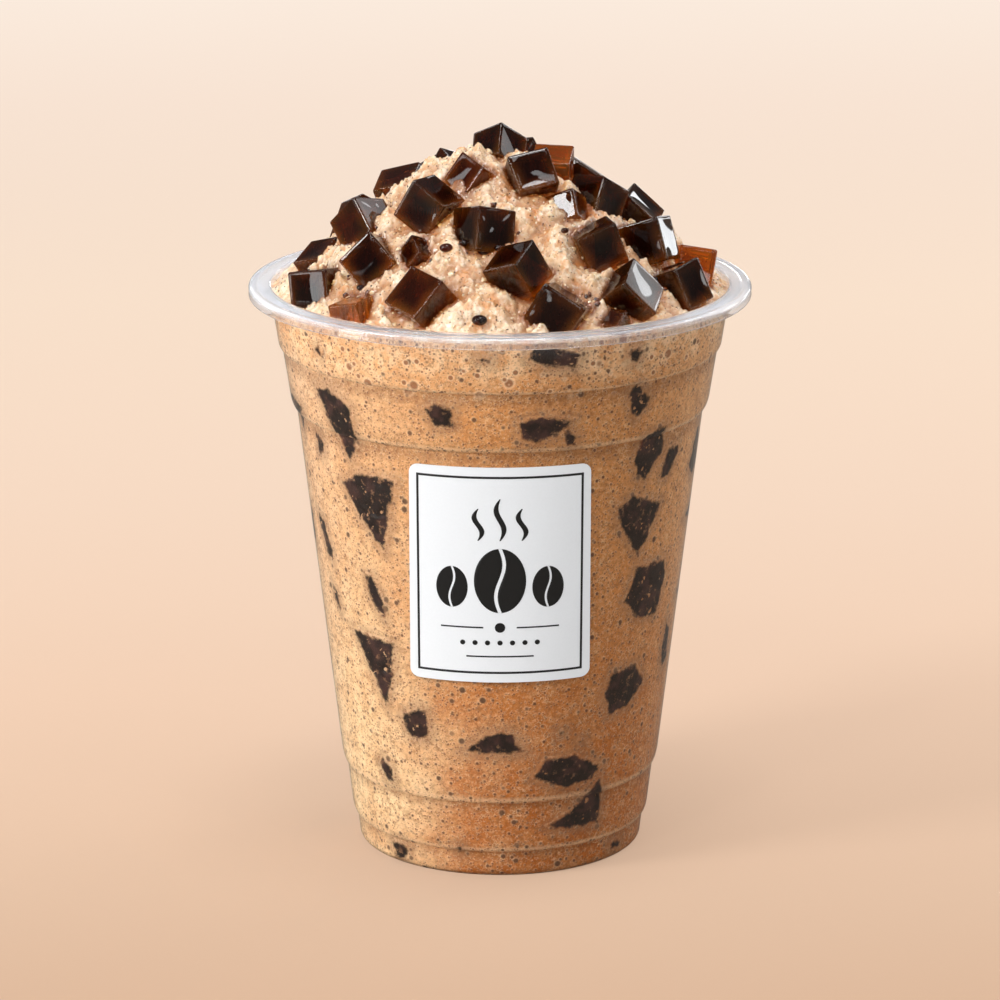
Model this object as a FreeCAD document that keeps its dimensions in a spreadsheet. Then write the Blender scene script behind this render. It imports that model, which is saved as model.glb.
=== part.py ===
"""Coffee jelly frappe: a clear stepped cup filled with blended coffee, heaped above the rim
and set all over with cubes of coffee jelly, with a white label on the front of the cup.

Millimetres, +Z up, the front of the cup towards -Y, the origin at the middle of the foot.
"""
import FreeCAD, Part
import math
import os
import random

import Sketcher

SIZES = {
    # cup wall, from the foot up
    "foot_radius": 28.0,        # outside of the wall where it meets the table
    "wall_slope": 0.1185,       # growth in radius for each millimetre of height, up to the shoulder
    "neck_slope": 0.155,        # the same above the shoulder
    "wall": 0.5,
    "foot_round": 1.2,
    "floor_lift": 1.6,          # height of the hollow under the base
    "floor_radius": 23.6,
    "foot_ring_radius": 25.2,   # inside of the ring that the cup stands on
    # the four steps that stiffen the wall: how high each is and how far it goes out; the lower
    # two start at a height above the table, the upper two at a drop below the top of the rim
    "base_step_level": 5.3,
    "base_step_rise": 2.2,
    "base_step_out": 0.7,
    "low_step_level": 15.9,
    "low_step_rise": 3.2,
    "low_step_out": 0.7,
    "shoulder_drop": 24.5,
    "shoulder_rise": 2.4,
    "shoulder_out": 0.85,
    "lip_step_drop": 12.5,
    "lip_step_rise": 1.1,
    "lip_step_out": 0.6,
    # rolled rim
    "rim_level": 113.4,
    "rim_width": 4.0,           # from the outside of the wall to the outside of the rim
    "rim_drop": 2.4,            # height of the skirt
    "rim_wall": 0.6,
    "rim_round": 0.5,
    # label
    "label_width": 36.0,
    "label_height": 44.1,
    "label_drop": 24.9,         # from the shoulder down to the middle of the label
    "label_thickness": 0.2,
    "label_clearance": 0.12,
    "label_corner": 1.8,
    # blended coffee
    "fill_clearance": 0.05,
    "brim_drop": 1.6,           # from the top of the rim down to the edge of the heap
    "heap_rise": 30.0,
    "lump_height": 1.1,
    "lump_radius": 4.2,
    # jelly
    "cube_edge": 8.4,
    "cube_round": 0.45,
    "cube_clearance": 0.2,
}
HEAP_POWER = 1.35               # 1 is a cone, 2 a dome
LUMP_SEED = 11
LUMP_COUNT = 90
HEAP_GRID = 31                  # points along each side of the heap's surface

# Cubes on the heap: bearing in degrees from the front towards +X, distance from the axis as a
# share of the mouth, height of the middle above the heap and edge as shares of cube_edge, then
# the turn about Z, Y and X in degrees.
CUBES = (
    (-163, 0.02, -0.36, 0.89, -37, -25, -36),
    (161, 0.26, -0.28, 0.86, 35, -24, -13),
    (-31, 0.23, -0.33, 0.83, -49, 19, -31),
    (31, 0.26, -0.19, 0.96, 18, -9, -42),
    (97, 0.23, -0.33, 0.90, -7, 3, 19),
    (-117, 0.48, -0.26, 0.99, -17, -15, 19),
    (-41, 0.46, -0.02, 1.00, -29, 32, -1),
    (-8, 0.50, -0.28, 1.03, 32, 14, -14),
    (-77, 0.60, -0.19, 1.00, -35, -44, -14),
    (74, 0.43, -0.26, 0.98, -42, -3, -30),
    (93, 0.58, -0.21, 0.98, -7, 42, 8),
    (44, 0.42, -0.31, 0.73, 60, 28, -26),
    (43, 0.62, -0.19, 0.95, 12, -21, -1),
    (68, 0.69, -0.05, 1.03, -17, -19, -10),
    (86, 0.84, -0.19, 0.90, 6, 11, -15),
    (64, 0.85, -0.28, 1.01, -39, -21, 9),
    (41, 0.83, -0.26, 1.05, -31, -37, 28),
    (32, 0.92, -0.36, 0.62, 60, -29, 1),
    (6, 0.71, -0.12, 0.98, -37, -17, 27),
    (17, 0.85, -0.38, 1.10, -21, 29, -11),
    (-23, 0.82, -0.28, 1.05, -47, 11, -42),
    (-51, 0.69, -0.33, 0.99, 0, -45, -28),
    (-66, 0.86, -0.31, 0.99, -26, -10, -7),
    (-43, 0.89, -0.43, 0.85, -37, -12, 5),
    (-90, 0.77, -0.50, 0.86, -41, -15, 28),
    (-34, 0.62, -0.36, 0.64, 30, 20, 35),
    (-120, 0.70, -0.31, 1.05, 20, 30, -25),
    (-141, 0.83, -0.19, 1.07, -30, 22, 18),
    (-149, 0.58, -0.12, 1.05, 15, -28, 30),
    (-165, 0.81, -0.19, 1.02, 40, 18, -32),
    (173, 0.66, -0.14, 1.09, -20, 35, 12),
    (165, 0.86, -0.21, 1.00, 12, -20, 38),
    (150, 0.72, -0.21, 1.07, -40, -30, 20),
    (152, 0.51, -0.19, 1.05, 30, 24, -36),
    (133, 0.82, -0.31, 1.05, -12, 38, 22),
    (118, 0.66, -0.45, 1.02, 35, -22, -28),
    (-174, 0.43, -0.17, 1.05, -35, 30, 30),
    (119, 0.41, -0.36, 0.95, -28, 26, -30),
    (-128, 0.26, -0.50, 0.86, 38, 18, 24),
)

doc = FreeCAD.newDocument("coffee_jelly_frappe")
sheet = doc.addObject("Spreadsheet::Sheet", "sizes")


class Size:
    """A length in millimetres together with the expression that works it out from the sheet."""

    def __init__(self, value, text):
        self.value = value
        self.text = text

    def __add__(self, other):
        other = as_size(other)
        return Size(self.value + other.value, "(%s + %s)" % (self.text, other.text))

    def __sub__(self, other):
        other = as_size(other)
        return Size(self.value - other.value, "(%s - %s)" % (self.text, other.text))

    def __mul__(self, other):
        other = as_size(other)
        return Size(self.value * other.value, "(%s * %s)" % (self.text, other.text))


def as_size(number):
    """A Size from a plain number, or the Size itself."""
    if isinstance(number, Size):
        return number
    return Size(number, repr(number))


def fill_sheet():
    """Write every size into the sheet under its own alias and return them as Sizes by name."""
    named = {}
    for row, (name, number) in enumerate(SIZES.items(), start=1):
        sheet.set("A%d" % row, name)
        sheet.set("B%d" % row, str(number))
        sheet.setAlias("B%d" % row, name)
        named[name] = Size(number, "sizes." + name)
    doc.recompute()
    return named


def origin_plane(body, role):
    """The body's own origin plane of that role, such as XZ_Plane."""
    return next(item for item in body.Origin.OriginFeatures if item.Role == role)


def closed_sketch(body, name, points):
    """A closed outline on the body's XZ plane through points given as pairs of Sizes."""
    sketch = body.newObject("Sketcher::SketchObject", name)
    sketch.AttachmentSupport = (origin_plane(body, "XZ_Plane"), [""])
    sketch.MapMode = "FlatFace"
    places = [FreeCAD.Vector(across.value, up.value, 0) for across, up in points]
    count = len(places)
    for index in range(count):
        sketch.addGeometry(Part.LineSegment(places[index], places[(index + 1) % count]), False)
    for index in range(count):
        sketch.addConstraint(Sketcher.Constraint("Coincident", index, 2, (index + 1) % count, 1))
    for index, (across, up) in enumerate(points):
        pin(sketch, index, "DistanceX", across, -2)
        pin(sketch, index, "DistanceY", up, -1)
    return sketch


def pin(sketch, index, direction, size, axis):
    """Hold the start of a sketch line at a bound distance from the origin, or on the axis."""
    if abs(size.value) < 1e-9:
        sketch.addConstraint(Sketcher.Constraint("PointOnObject", index, 1, axis))
        return
    number = sketch.addConstraint(
        Sketcher.Constraint(direction, -1, 1, index, 1, size.value))
    sketch.setExpression("Constraints[%d]" % number, size.text)


def turned_body(name, points):
    """A body made by turning a closed outline once around the vertical axis."""
    body = doc.addObject("PartDesign::Body", name)
    sketch = closed_sketch(body, name + "_outline", points)
    turn = body.newObject("PartDesign::Revolution", name + "_turn")
    turn.Profile = sketch
    turn.ReferenceAxis = (sketch, ["V_Axis"])
    turn.Angle = 360.0
    sketch.Visibility = False
    doc.recompute()
    return body, turn


def ring_edges(feature, places):
    """Names of the feature's round edges that lie at the given (radius, height) Sizes."""
    names = []
    for number, edge in enumerate(feature.Shape.Edges, start=1):
        curve = edge.Curve
        if not isinstance(curve, Part.Circle):
            continue
        for radius, height in places:
            if abs(curve.Radius - radius.value) < 1e-4 and abs(curve.Center.z - height.value) < 1e-4:
                names.append("Edge%d" % number)
    return names


def round_edges(body, base, name, places, radius):
    """Round the feature's ring edges at the places with a bound radius."""
    fillet = body.newObject("PartDesign::Fillet", name)
    fillet.Base = (base, ring_edges(base, places))
    fillet.Radius = radius.value
    fillet.setExpression("Radius", radius.text)
    doc.recompute()
    return fillet


# ---- the cup's wall, shared by the cup, the coffee, the label and the cubes ----

def shoulder_level(size):
    """Height of the upper grip's step, which keeps its distance from the rim."""
    return size["rim_level"] - size["shoulder_drop"]


def lip_step_level(size):
    """Height of the step under the rim."""
    return size["rim_level"] - size["lip_step_drop"]


def wall_radius(size, height, steps):
    """Outside of the wall at a height below the shoulder's top, after the named steps."""
    radius = size["foot_radius"] + size["wall_slope"] * height
    for step in steps:
        radius = radius + size[step]
    return radius


def neck_radius(size, height, steps):
    """Outside of the wall above the shoulder, after the named steps."""
    level = shoulder_level(size)
    shoulder = wall_radius(size, level, ("base_step_out", "low_step_out", "shoulder_out"))
    radius = shoulder + size["neck_slope"] * (height - level)
    for step in steps:
        radius = radius + size[step]
    return radius


def wall_stations(size):
    """The outside of the wall from the table to the underside of the rim, as (radius, height)."""
    base_top = size["base_step_level"] + size["base_step_rise"]
    low_top = size["low_step_level"] + size["low_step_rise"]
    shoulder_foot = shoulder_level(size)
    shoulder_top = shoulder_foot + size["shoulder_rise"]
    lip_foot = lip_step_level(size)
    lip_top = lip_foot + size["lip_step_rise"]
    rim_under = size["rim_level"] - size["rim_wall"]
    base = ("base_step_out",)
    low = base + ("low_step_out",)
    lip = ("lip_step_out",)
    return [
        (size["foot_radius"], as_size(0.0)),
        (wall_radius(size, size["base_step_level"], ()), size["base_step_level"]),
        (wall_radius(size, base_top, base), base_top),
        (wall_radius(size, size["low_step_level"], base), size["low_step_level"]),
        (wall_radius(size, low_top, low), low_top),
        (wall_radius(size, shoulder_foot, low), shoulder_foot),
        (neck_radius(size, shoulder_top, ()), shoulder_top),
        (neck_radius(size, lip_foot, ()), lip_foot),
        (neck_radius(size, lip_top, lip), lip_top),
        (neck_radius(size, rim_under, lip), rim_under),
    ]


def inner_stations(size, clearance):
    """The inside of the wall, less a clearance, from the floor's channel up to the rim's top."""
    depth = size["wall"] + clearance
    stations = wall_stations(size)
    inside = [(stations[0][0] - depth, depth)]
    inside += [(radius - depth, height) for radius, height in stations[1:-1]]
    inside.append((mouth_radius(size) - clearance, size["rim_level"]))
    return inside


def mouth_radius(size):
    """Inside of the cup at the top of the rim."""
    return wall_stations(size)[-1][0] - size["wall"]


def radius_at(stations, height):
    """Radius of a wall given by stations at a height in millimetres."""
    for (low_radius, low), (high_radius, high) in zip(stations, stations[1:]):
        if height <= high.value:
            share = max(0.0, (height - low.value) / (high.value - low.value))
            return low_radius.value + share * (high_radius.value - low_radius.value)
    return stations[-1][0].value


# ---- cup ----

def floor_points(size, clearance):
    """The top of the cup's floor, plus a clearance, from the axis out to the channel."""
    depth = size["wall"] + clearance
    return [
        (as_size(0.0), size["floor_lift"] + depth),
        (size["floor_radius"] + depth, size["floor_lift"] + depth),
        (size["foot_ring_radius"] + depth, depth),
    ]


def make_cup(size):
    """The clear cup: one thin shell with a hollow base, four steps and a rolled rim."""
    stations = wall_stations(size)
    neck, rim_under = stations[-1]
    rim_outside = neck + size["rim_width"]
    rim_foot = size["rim_level"] - size["rim_drop"]
    under = [
        (as_size(0.0), size["floor_lift"]),
        (size["floor_radius"], size["floor_lift"]),
        (size["foot_ring_radius"], as_size(0.0)),
    ]
    rim = [
        (rim_outside - size["rim_wall"], rim_under),
        (rim_outside - size["rim_wall"], rim_foot),
        (rim_outside, rim_foot),
        (rim_outside, size["rim_level"]),
    ]
    inside = list(reversed(inner_stations(size, as_size(0.0))))
    floor = list(reversed(floor_points(size, as_size(0.0))))
    body, turn = turned_body("cup", under + stations + rim + inside + floor)
    foot = round_edges(body, turn, "foot_rounding", [stations[0]], size["foot_round"])
    round_edges(body, foot, "rim_rounding",
                [(rim_outside, size["rim_level"]), (mouth_radius(size), size["rim_level"])],
                size["rim_round"])
    body.Label = "cup"
    return body


# ---- label ----

def make_label(size):
    """A rounded rectangle cut from a thin sleeve that lies around the wall."""
    low = ("base_step_out", "low_step_out")
    half_width = size["label_width"] * 0.5
    half_height = size["label_height"] * 0.5
    level = shoulder_level(size) - size["label_drop"]
    bottom = level - half_height
    top = level + half_height
    sleeve_bottom = bottom - size["label_corner"]
    sleeve_top = top + size["label_corner"]
    inside = size["label_clearance"]
    outside = size["label_clearance"] + size["label_thickness"]
    sleeve, _ = turned_body("label_sleeve", [
        (wall_radius(size, sleeve_bottom, low) + inside, sleeve_bottom),
        (wall_radius(size, sleeve_bottom, low) + outside, sleeve_bottom),
        (wall_radius(size, sleeve_top, low) + outside, sleeve_top),
        (wall_radius(size, sleeve_top, low) + inside, sleeve_top),
    ])
    # the width is measured along the wall, so the flat outline is as much narrower as the
    # chord of the label's arc
    middle = wall_radius(size, level, low)
    chord_share = math.sin(half_width.value / middle.value) * middle.value / half_width.value
    half_chord = half_width * round(chord_share, 4)
    die = doc.addObject("PartDesign::Body", "label_die")
    sketch = closed_sketch(die, "label_outline", [
        (half_chord * -1.0, bottom), (half_chord, bottom), (half_chord, top), (half_chord * -1.0, top)])
    pad = die.newObject("PartDesign::Pad", "label_punch")
    pad.Profile = sketch
    reach = wall_radius(size, sleeve_top, low) + outside + size["label_corner"]
    pad.Length = reach.value
    pad.setExpression("Length", reach.text)
    doc.recompute()
    corners = [
        "Edge%d" % number for number, edge in enumerate(pad.Shape.Edges, start=1)
        if abs(edge.tangentAt(edge.FirstParameter).y) > 0.999
    ]
    fillet = die.newObject("PartDesign::Fillet", "label_corners")
    fillet.Base = (pad, corners)
    fillet.setExpression("Radius", size["label_corner"].text)
    doc.recompute()
    label = doc.addObject("Part::Common", "label")
    label.Base = sleeve
    label.Tool = die
    label.Label = "label"
    return label


# ---- heap and coffee ----

def heap_lumps(size):
    """Seeded bumps and hollows spread over the mouth: (x, y, height, radius) of each."""
    pick = random.Random(LUMP_SEED)
    mouth = mouth_radius(size).value
    lumps = []
    for _ in range(LUMP_COUNT):
        out = mouth * math.sqrt(pick.random())
        turn = pick.uniform(0.0, 2.0 * math.pi)
        height = pick.uniform(-1.0, 1.0) * size["lump_height"].value
        radius = pick.uniform(0.8, 1.5) * size["lump_radius"].value
        lumps.append((out * math.cos(turn), out * math.sin(turn), height, radius))
    return lumps


def heap_level(size, lumps, x, y):
    """Height of the heap's surface over a point."""
    out = math.hypot(x, y) / mouth_radius(size).value
    brim = size["rim_level"].value - size["brim_drop"].value
    level = brim + size["heap_rise"].value * (1.0 - out ** HEAP_POWER)
    calm = max(0.0, 1.0 - out ** 6)     # the lumps die out at the wall
    for lump_x, lump_y, height, radius in lumps:
        apart = ((x - lump_x) ** 2 + (y - lump_y) ** 2) / radius ** 2
        if apart < 9.0:
            level += calm * height * math.exp(-apart)
    return level


def make_heap(size, lumps):
    """Everything below the heap's lumpy surface, as a block that the coffee is cut from."""
    half = mouth_radius(size).value * 1.05
    spacing = 2.0 * half / (HEAP_GRID - 1)
    grid = []
    for column in range(HEAP_GRID):
        x = column * spacing - half
        grid.append([
            FreeCAD.Vector(x, row * spacing - half, heap_level(size, lumps, x, row * spacing - half))
            for row in range(HEAP_GRID)
        ])
    surface = Part.BSplineSurface()
    surface.interpolate(grid)
    depth = size["rim_level"].value * 2.0
    heap = doc.addObject("Part::Feature", "heap")
    heap.Shape = surface.toShape().extrude(FreeCAD.Vector(0, 0, -depth))
    return heap


def make_filling(size):
    """The inside of the cup, carried straight up past the top of the heap."""
    clearance = size["fill_clearance"]
    inside = inner_stations(size, clearance)
    above = size["rim_level"] + size["heap_rise"] + size["cube_edge"]
    floor = floor_points(size, clearance)
    body, _ = turned_body("filling", floor + inside + [
        (mouth_radius(size) - clearance, above), (as_size(0.0), above)])
    return body


def make_frappe(filling, heap, boxes):
    """The blended coffee: the filling under the heap's surface, with a pocket for each cube."""
    drink = doc.addObject("Part::Common", "drink")
    drink.Base = filling
    drink.Tool = heap
    pockets = doc.addObject("Part::Compound", "pockets")
    pockets.Links = boxes
    frappe = doc.addObject("Part::Cut", "frappe")
    frappe.Base = drink
    frappe.Tool = pockets
    frappe.Label = "frappe"
    return frappe


# ---- jelly cubes ----

class Block:
    """A cube's middle, edge and turned axes, used to seat it before it is built."""

    def __init__(self, size, lumps, entry):
        bearing, out, lift, share, spin, pitch, roll = entry
        reach = out * mouth_radius(size).value
        x = reach * math.sin(math.radians(bearing))
        y = -reach * math.cos(math.radians(bearing))
        edge = size["cube_edge"].value
        self.share = share
        self.edge = share * edge
        self.rotation = FreeCAD.Rotation(spin, pitch, roll)
        self.axes = [self.rotation.multVec(FreeCAD.Vector(*unit))
                     for unit in ((1, 0, 0), (0, 1, 0), (0, 0, 1))]
        self.middle = FreeCAD.Vector(x, y, heap_level(size, [], x, y) + lift * edge)

    def half_extent(self, direction):
        """Half of the cube's width along a unit direction."""
        return 0.5 * self.edge * sum(abs(axis.dot(direction)) for axis in self.axes)

    def corners(self):
        """The eight corners."""
        half = 0.5 * self.edge
        signs = (-half, half)
        return [self.middle + self.axes[0] * a + self.axes[1] * b + self.axes[2] * c
                for a in signs for b in signs for c in signs]


def free_gap(one, other):
    """The widest gap between two cubes over their face and edge-pair directions, and that
    direction; the gap is negative where they overlap."""
    between = other.middle - one.middle
    directions = one.axes + other.axes
    directions += [a.cross(b) for a in one.axes for b in other.axes]
    widest, along = -math.inf, None
    for direction in directions:
        if direction.Length < 1e-6:
            continue
        unit = direction / direction.Length
        offset = between.dot(unit)
        gap = abs(offset) - one.half_extent(unit) - other.half_extent(unit)
        if gap > widest:
            widest, along = gap, unit * math.copysign(1.0, offset)
    return widest, along


def settle(size, blocks):
    """Push the cubes apart, and in from the wall, until each stands clear by cube_clearance."""
    clearance = size["cube_clearance"].value
    walls = inner_stations(size, size["fill_clearance"])
    rim_level = size["rim_level"].value
    for _ in range(200):
        moved = False
        for index, one in enumerate(blocks):
            for other in blocks[index + 1:]:
                if (one.middle - other.middle).Length > one.edge + other.edge:
                    continue
                gap, along = free_gap(one, other)
                if gap < clearance:
                    push = along * (0.5 * (clearance - gap) + 0.01)
                    one.middle = one.middle - push
                    other.middle = other.middle + push
                    moved = True
        for block in blocks:
            out = max(math.hypot(corner.x, corner.y) - radius_at(walls, min(corner.z, rim_level))
                      for corner in block.corners()) + clearance
            if out > 0:
                inward = FreeCAD.Vector(-block.middle.x, -block.middle.y, 0)
                block.middle = block.middle + inward * ((out + 0.01) / inward.Length)
                moved = True
        if not moved:
            return


def make_cubes(size, lumps):
    """The jelly cubes, each a box with rounded edges; returns the cubes and their plain boxes."""
    blocks = [Block(size, lumps, entry) for entry in CUBES]
    settle(size, blocks)
    cubes, boxes = [], []
    for number, block in enumerate(blocks, start=1):
        box = doc.addObject("Part::Box", "jelly_box_%02d" % number)
        edge = size["cube_edge"] * block.share
        for side in ("Length", "Width", "Height"):
            box.setExpression(side, edge.text)
        half = 0.5 * block.edge
        corner = block.middle - block.rotation.multVec(FreeCAD.Vector(half, half, half))
        box.Placement = FreeCAD.Placement(corner, block.rotation)
        boxes.append(box)
        cube = doc.addObject("Part::Fillet", "jelly_cube_%02d" % number)
        cube.Base = box
        radius = size["cube_round"].value
        cube.Edges = [(edge_number, radius, radius) for edge_number in range(1, 13)]
        cube.Label = "jelly_cube_%02d" % number
        cubes.append(cube)
    return cubes, boxes


def check(parts):
    """Stop if any object failed, or if a sub-part is not one valid solid."""
    for item in doc.Objects:
        if "Invalid" in item.State or "Error" in item.State:
            raise RuntimeError("%s failed: %s" % (item.Name, item.State))
    for part in parts:
        if part.Shape.isNull() or not part.Shape.isValid():
            raise RuntimeError("%s has no valid shape" % part.Label)
        if len(part.Shape.Solids) != 1:
            raise RuntimeError("%s has %d solids" % (part.Label, len(part.Shape.Solids)))


def main():
    """Build every sub-part, check them all and write one file for each."""
    size = fill_sheet()
    lumps = heap_lumps(size)
    cubes, boxes = make_cubes(size, lumps)
    cup = make_cup(size)
    label = make_label(size)
    frappe = make_frappe(make_filling(size), make_heap(size, lumps), boxes)
    doc.recompute()
    parts = [cup, frappe, label] + cubes
    check(parts)
    os.makedirs("parts", exist_ok=True)
    for part in parts:
        part.Shape.exportStep("parts/%s.step" % part.Label)
        print("%-14s volume %10.2f" % (part.Label, part.Shape.Volume))


main()
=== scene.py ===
"""Looks for the coffee jelly frappe: clear cup, coffee, slush heap, jelly cubes and label."""

import math
import random
from functools import partialmethod
from itertools import product

import bmesh
import bpy
import numpy as np
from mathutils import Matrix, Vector, noise


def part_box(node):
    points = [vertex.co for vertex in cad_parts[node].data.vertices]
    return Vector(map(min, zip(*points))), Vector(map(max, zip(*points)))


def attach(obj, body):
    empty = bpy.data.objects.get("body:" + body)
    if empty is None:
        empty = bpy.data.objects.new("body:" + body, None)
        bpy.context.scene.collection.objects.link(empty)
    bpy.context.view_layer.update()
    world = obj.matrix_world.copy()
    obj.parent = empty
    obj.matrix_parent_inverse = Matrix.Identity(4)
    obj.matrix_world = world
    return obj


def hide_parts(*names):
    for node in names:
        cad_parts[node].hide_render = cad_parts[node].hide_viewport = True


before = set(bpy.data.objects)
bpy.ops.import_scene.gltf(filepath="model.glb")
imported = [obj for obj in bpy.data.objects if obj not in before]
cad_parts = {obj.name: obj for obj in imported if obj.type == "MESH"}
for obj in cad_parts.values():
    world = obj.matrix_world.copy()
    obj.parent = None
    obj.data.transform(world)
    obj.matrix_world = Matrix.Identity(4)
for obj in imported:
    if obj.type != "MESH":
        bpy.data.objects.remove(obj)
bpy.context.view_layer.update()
MM = 0.001

# ---- sizes of the cup, in millimetres ----

FOOT_RADIUS = 28.0
FOOT_ROUND = 1.2     # radius of the rounding between the wall and the foot
WALL_SLOPE = 0.1185
NECK_SLOPE = 0.155
SHOULDER = 88.9      # the wall opens faster above this height
WALL = 0.5
RIM_TOP = 113.4
RIM_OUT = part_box("cup")[1].x / MM
MOUTH = 44.59
BRIM = 111.8
STEPS = ((5.3, 2.2, 0.7), (15.9, 3.2, 0.7), (SHOULDER, 2.4, 0.85), (100.9, 1.1, 0.6))
STEP_SHARES = (-0.02, 0.0, 0.01, 0.03, 0.07, 0.13, 0.2, 0.3, 0.42, 0.56, 0.72, 0.88, 1.0)
HEAP_RISE = 30.0
HEAP_POWER = 1.35
SKIN = 0.2           # the coffee's surface lies this far inside the outside of the wall


def wall_out(height):
    """Outside radius of the wall at heights in millimetres, with its four rounded ledges."""
    height = np.asarray(height, float)
    radius = FOOT_RADIUS + WALL_SLOPE * np.minimum(height, SHOULDER)
    radius = radius + NECK_SLOPE * np.maximum(0.0, height - SHOULDER)
    for foot, rise, out in STEPS:
        share = np.clip((height - foot) / rise, 0.0, 1.0)
        radius = radius + out * np.sqrt(1.0 - (1.0 - share) ** 2)
    return radius


def wall_heights(low, high, spacing):
    """Heights from low to high, with closer ones at the ledges."""
    closer = [round(step[0] + share * step[1], 4) for step, share in product(STEPS, STEP_SHARES)]
    return np.array(sorted({low, high, *np.arange(low, high, spacing).round(4),
                            *(height for height in closer if low < height < high)}))


FOOT_OUT = wall_out(FOOT_ROUND)


def turned(radius, angle, height):
    """Points round the axis, at angles from the front towards +X."""
    return np.stack(np.broadcast_arrays(
        radius * np.sin(angle), -radius * np.cos(angle), height), -1)


# ---- meshes ----

def linked(name, data):
    """An object made of a mesh, lamp or camera and put in the scene."""
    thing = bpy.data.objects.new(name, data)
    bpy.context.scene.collection.objects.link(thing)
    return thing


def new_piece(name, points, faces, material, smooth=True):
    """A mesh object of one material, from points in millimetres."""
    mesh = bpy.data.meshes.new(name)
    points = (np.asarray(points, float) * MM).tolist()
    mesh.from_pydata(points, [], faces.tolist() if isinstance(faces, np.ndarray) else faces)
    mesh.validate()
    mesh.shade_smooth() if smooth else mesh.shade_flat()
    mesh.materials.append(material)
    return linked(name, mesh)


def tidy_mesh(piece, doubles=0.00002):
    """Merge points less than doubles apart, unless it is 0, and turn every face outwards."""
    work = bmesh.new()
    work.from_mesh(piece.data)
    if doubles:
        bmesh.ops.remove_doubles(work, verts=work.verts, dist=doubles)
    bmesh.ops.recalc_face_normals(work, faces=work.faces)
    work.to_mesh(piece.data)
    work.free()
    return piece


def grid_faces(rows, columns, ring=False):
    """Quads between rows of points; a ring's last column joins its first."""
    start = np.arange(rows - 1)[:, None] * columns
    here = np.arange(columns if ring else columns - 1)
    beside = (here + 1) % columns
    return np.stack([start + here, start + beside,
                     start + columns + beside, start + columns + here], -1).reshape(-1, 4)


def border(rows, columns):
    """Numbers of the points round the edge of a grid of points, in order."""
    return np.concatenate([np.arange(columns), np.arange(1, rows) * columns + columns - 1,
                           (rows - 1) * columns + np.arange(columns - 2, -1, -1),
                           np.arange(rows - 2, 0, -1) * columns])


def closed(surface, faces, edge, ring, hub):
    """A surface closed by a skirt from its edge down to a ring, and a floor round a hub."""
    low = len(surface) + np.arange(len(edge))
    after = np.roll(low, -1)
    middle = len(surface) + len(edge)
    skirt = np.stack([edge, np.roll(edge, -1), after, low], 1).tolist()
    return (np.concatenate([surface, ring, [hub]]),
            faces.tolist() + skirt + [[a, b, middle] for a, b in zip(low, after)])


def square_grid(side):
    """All pairs of the numbers in side."""
    return np.stack(np.meshgrid(side, side, indexing="ij"), -1).reshape(-1, 2)


def joined(parts):
    """The points and faces of several parts, each given as its own points and faces."""
    faces, base = [], 0
    for points, own in parts:
        faces += [[base + corner for corner in face] for face in own]
        base += len(points)
    return np.concatenate([points for points, _ in parts]), faces


def arc(middle, radii, start, end, count):
    """Points on an ellipse's arc, from one angle in degrees to another."""
    angle = np.radians(np.linspace(start, end, count))
    return np.stack([np.cos(angle), np.sin(angle)], 1) * radii + middle


def point_attribute(piece, name, values):
    """A number for each point, and 0 for the points left over."""
    padded = np.zeros(len(piece.data.vertices), np.float32)
    padded[:len(values)] = values
    piece.data.attributes.new(name, "FLOAT", "POINT").data.foreach_set("value", padded)


def rough(points, size, seed, octaves=3):
    """Smooth noise from about -1 to 1, with bumps of about the given size."""
    shift = Vector((seed * 17.3, seed * 5.1, seed * 9.7))
    return np.array([noise.fractal(Vector(p) / size + shift, 1.0, 2.0, octaves) for p in points])


def cells(points, size, seed):
    """Distance to the nearest of scattered centres, as a share of the size."""
    shift = Vector((seed * 7.9, seed * 13.7, seed * 3.3))
    return np.array([noise.voronoi(Vector(p) / size + shift)[0][0] for p in points])


# ---- shader maths ----

class Wire:
    """A node's output on which plain arithmetic adds Math nodes."""

    def __init__(self, board, socket):
        self.board = board
        self.socket = socket

    def maths(self, operation, *others):
        """A Math node on this output and any others."""
        return self.board.add("ShaderNodeMath", dict(enumerate((self, *others))),
                              operation=operation)

    __add__ = __radd__ = partialmethod(maths, "ADD")
    __mul__ = __rmul__ = partialmethod(maths, "MULTIPLY")
    __sub__ = partialmethod(maths, "SUBTRACT")

    def step(self, low, high):
        """0 below low and 1 above high, smooth between; low may be above high."""
        return self.board.add("ShaderNodeMapRange", {
            "Value": self, "From Min": low, "From Max": high}, interpolation_type="SMOOTHSTEP")


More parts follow.
